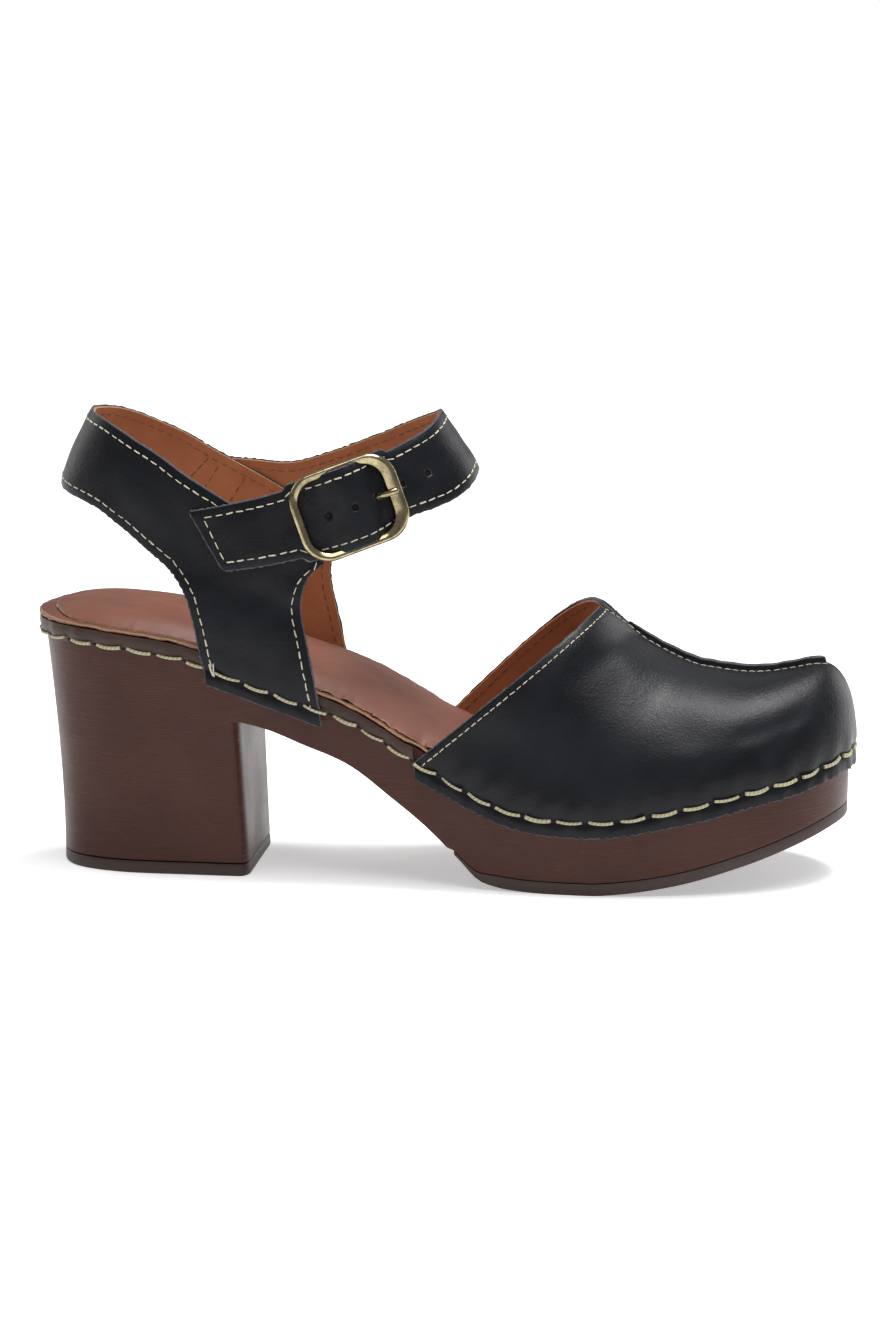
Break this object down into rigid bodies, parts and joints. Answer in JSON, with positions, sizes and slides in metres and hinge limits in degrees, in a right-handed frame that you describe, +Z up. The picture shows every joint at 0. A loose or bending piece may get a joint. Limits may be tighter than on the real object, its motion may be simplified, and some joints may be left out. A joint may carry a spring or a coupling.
{
  "type": "heeled clog sandal",
  "caption": "Right clog sandal on a block-heeled platform: black leather vamp with a raised centre seam, quarter and heel strap, buckled ankle strap.",
  "frame": {"origin": "middle of the base of the whole shoe, on the floor that it stands on", "axes": "+X towards the toe, +Y towards the medial side, +Z up"},
  "size_m": [0.253, 0.0924, 0.1416],
  "materials": {
    "moulded_sole": "satin, streaked like wood",
    "tread_rubber": "matt",
    "sock_leather": "smooth matt",
    "rand_leather": "satin",
    "black_leather": "semi-gloss",
    "brass": "polished"
  },
  "bodies": {
    "root": {"sole_unit": "moulded_sole", "heel_top_piece": "tread_rubber", "forefoot_outsole": "tread_rubber", "insole": "sock_leather", "rand": "rand_leather", "vamp": "black_leather", "quarter_straps": "black_leather", "buckle_frame": "brass", "buckle_prong": "brass", "buckle_tab": "black_leather"}
  },
  "joints": []
}
